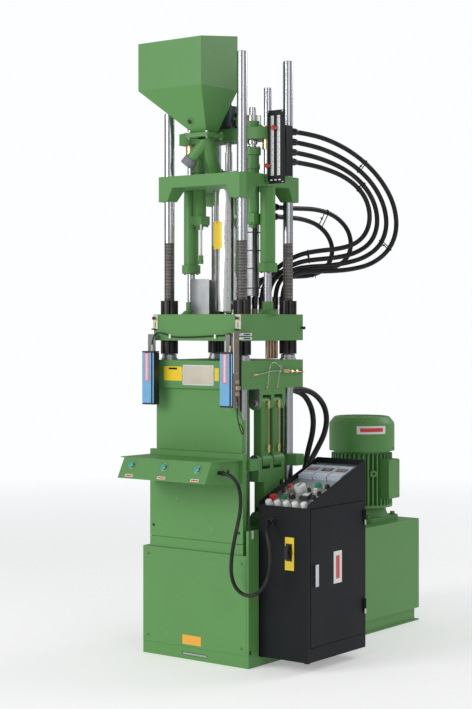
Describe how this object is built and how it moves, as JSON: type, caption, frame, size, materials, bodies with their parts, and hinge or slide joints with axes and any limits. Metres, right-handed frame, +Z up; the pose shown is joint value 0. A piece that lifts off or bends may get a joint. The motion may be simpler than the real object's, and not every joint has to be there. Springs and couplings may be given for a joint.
{
  "type": "injection moulding machine",
  "caption": "Vertical plug-type injection moulding machine: toggle clamp under a fixed platen, tie bars, injection carriage with hopper, side control cabinet and rear hydraulic power unit.",
  "frame": {"origin": "on the floor under the middle of the four tie bars", "axes": "+Z up, +X to the right of an operator who faces the machine, +Y back towards the power unit"},
  "size_m": [0.7935, 1.52, 2.53],
  "materials": {
    "black_paint": "satin powder coat",
    "black_plastic": "satin",
    "blue_plastic": "matt",
    "brass_metal": "machined",
    "bright_steel": "machined",
    "chrome_bar": "polished hard chrome",
    "dark_steel": "black oxide",
    "go_plastic": "satin",
    "green_paint": "satin enamel",
    "grey_plastic": "matt",
    "red_plastic": "satin",
    "rubber_hose": "matt",
    "stainless": "mill finish sheet",
    "teal_plastic": "satin",
    "white_plastic": "satin"
  },
  "bodies": {
    "machine_frame": {"base_frame": "green_paint", "base_front_cover": "green_paint", "cover_screws": "bright_steel", "frame_uprights": "green_paint", "upper_front_cover": "green_paint", "lower_front_cover": "green_paint", "operator_shelf": "green_paint", "fixed_platen": "green_paint", "clamp_cylinder": "green_paint", "oil_tank": "green_paint", "motor_body": "green_paint", "motor_cowl": "green_paint", "valve_block": "black_paint", "control_cabinet": "black_paint", "console_panel": "bright_steel", "rear_hoses": "rubber_hose", "front_cables": "rubber_hose"},
    "clamp": {"moving_platen": "green_paint", "tie_bars": "chrome_bar", "tie_bar_nuts": "dark_steel", "toggle_crosshead": "green_paint", "clamp_piston_rod": "chrome_bar", "guide_rods": "chrome_bar", "light_sensors": "blue_plastic", "purge_shield": "stainless", "hose_fittings": "bright_steel"},
    "carriage": {"injection_carriage": "green_paint", "barrel": "bright_steel", "heater_bands": "stainless", "barrel_guard": "stainless", "seat_cylinders": "green_paint", "injection_cylinders": "green_paint", "hopper": "green_paint", "hopper_chute": "green_paint", "drain_cap": "grey_plastic", "stroke_scale": "black_paint", "upper_hoses": "rubber_hose", "lower_hoses": "rubber_hose"},
    "ram": {"ram_crosshead": "green_paint", "ram_bushes": "brass_metal", "injection_rods": "chrome_bar", "hydraulic_motor": "dark_steel"},
    "screw": {"screw": "bright_steel"},
    "upper_link_left": {"upper_link_left": "green_paint"},
    "upper_link_right": {"upper_link_right": "green_paint"},
    "lower_link_left": {"lower_link_left": "green_paint"},
    "lower_link_right": {"lower_link_right": "green_paint"},
    "shelf_button_left": {"shelf_button_left": "teal_plastic"},
    "shelf_button_middle": {"shelf_button_middle": "teal_plastic"},
    "shelf_button_right": {"shelf_button_right": "teal_plastic"},
    "stop_button": {"stop_button": "red_plastic"},
    "start_button": {"start_button": "go_plastic"},
    "selector_knob": {"selector_knob": "black_plastic"},
    "timer_knob": {"timer_knob": "white_plastic"},
    "isolator_handle": {"isolator_handle": "black_plastic"},
    "cabinet_door": {"cabinet_door": "black_paint"},
    "door_handle": {"door_handle": "bright_steel"},
    "motor_fan": {"motor_fan": "black_plastic"},
    "upper_pointer": {"upper_pointer": "red_plastic"},
    "lower_pointer": {"lower_pointer": "red_plastic"}
  },
  "joints": [
    {"name": "clamp_lift", "type": "slide", "parent": "machine_frame", "child": "clamp", "axis": [0, 0, 1], "range_m": [0, 0.1]},
    {"name": "carriage_lift", "type": "slide", "parent": "clamp", "child": "carriage", "axis": [0, 0, 1], "range_m": [0, 0.12], "deforming": ["upper_hoses", "lower_hoses"]},
    {"name": "ram_lift", "type": "slide", "parent": "carriage", "child": "ram", "axis": [0, 0, 1], "range_m": [0, 0.1]},
    {"name": "screw_turn", "type": "hinge", "parent": "ram", "child": "screw", "pos_m": [0, 0, 1.8], "axis": [0, 0, 1], "continuous": true},
    {"name": "upper_link_right_swing", "type": "hinge", "parent": "machine_frame", "child": "upper_link_right", "pos_m": [0.197, 0, 1.035], "axis": [0, 1, 0], "range_deg": [0, 38.4]},
    {"name": "lower_link_right_fold", "type": "hinge", "parent": "upper_link_right", "child": "lower_link_right", "pos_m": [0.197, 0, 0.803], "axis": [0, 1, 0], "range_deg": [-76.8, 0]},
    {"name": "upper_link_left_swing", "type": "hinge", "parent": "machine_frame", "child": "upper_link_left", "pos_m": [-0.197, 0, 1.035], "axis": [0, 1, 0], "range_deg": [-38.4, 0]},
    {"name": "lower_link_left_fold", "type": "hinge", "parent": "upper_link_left", "child": "lower_link_left", "pos_m": [-0.197, 0, 0.803], "axis": [0, 1, 0], "range_deg": [0, 76.8]},
    {"name": "shelf_button_left_press", "type": "slide", "parent": "machine_frame", "child": "shelf_button_left", "axis": [0, 0.8874, -0.461], "range_m": [0, 0.004], "stiffness_N_per_m": 400, "springref_m": -0.002},
    {"name": "shelf_button_middle_press", "type": "slide", "parent": "machine_frame", "child": "shelf_button_middle", "axis": [0, 0.8874, -0.461], "range_m": [0, 0.004], "stiffness_N_per_m": 400, "springref_m": -0.002},
    {"name": "shelf_button_right_press", "type": "slide", "parent": "machine_frame", "child": "shelf_button_right", "axis": [0, 0.8874, -0.461], "range_m": [0, 0.004], "stiffness_N_per_m": 400, "springref_m": -0.002},
    {"name": "stop_button_press", "type": "slide", "parent": "machine_frame", "child": "stop_button", "axis": [0, 0.3375, -0.9413], "range_m": [0, 0.004], "stiffness_N_per_m": 400, "springref_m": -0.002},
    {"name": "start_button_press", "type": "slide", "parent": "machine_frame", "child": "start_button", "axis": [0, 0.3375, -0.9413], "range_m": [0, 0.004], "stiffness_N_per_m": 400, "springref_m": -0.002},
    {"name": "selector_turn", "type": "hinge", "parent": "machine_frame", "child": "selector_knob", "pos_m": [0.3785, -0.076, 0.66312], "axis": [0, -0.3375, 0.9413], "range_deg": [-60, 60]},
    {"name": "timer_turn", "type": "hinge", "parent": "machine_frame", "child": "timer_knob", "pos_m": [0.3645, -0.002, 0.68965], "axis": [0, -0.3375, 0.9413], "range_deg": [-150, 150]},
    {"name": "isolator_turn", "type": "hinge", "parent": "machine_frame", "child": "isolator_handle", "pos_m": [0.42, -0.16, 0.464], "axis": [0, 1, 0], "range_deg": [0, 90]},
    {"name": "cabinet_door_swing", "type": "hinge", "parent": "machine_frame", "child": "cabinet_door", "pos_m": [0.516, 0.238, 0.38], "axis": [0, 0, 1], "range_deg": [0, 110]},
    {"name": "door_handle_turn", "type": "hinge", "parent": "cabinet_door", "child": "door_handle", "pos_m": [0.511, -0.109, 0.377], "axis": [1, 0, 0], "range_deg": [0, 90]},
    {"name": "fan_turn", "type": "hinge", "parent": "machine_frame", "child": "motor_fan", "pos_m": [0.085, 0.88, 0.85], "axis": [0, 0, 1], "continuous": true},
    {"name": "upper_pointer_set", "type": "slide", "parent": "carriage", "child": "upper_pointer", "axis": [0, 0, 1], "range_m": [-0.15, 0.045]},
    {"name": "lower_pointer_set", "type": "slide", "parent": "carriage", "child": "lower_pointer", "axis": [0, 0, 1], "range_m": [-0.035, 0.19]}
  ],
  "couplings": [
    {"joint": "upper_link_right_swing", "follows": "clamp_lift", "rad_per_m": 6.69},
    {"joint": "upper_link_left_swing", "follows": "clamp_lift", "rad_per_m": -6.69},
    {"joint": "lower_link_right_fold", "follows": "clamp_lift", "rad_per_m": -13.38},
    {"joint": "lower_link_left_fold", "follows": "clamp_lift", "rad_per_m": 13.38}
  ]
}
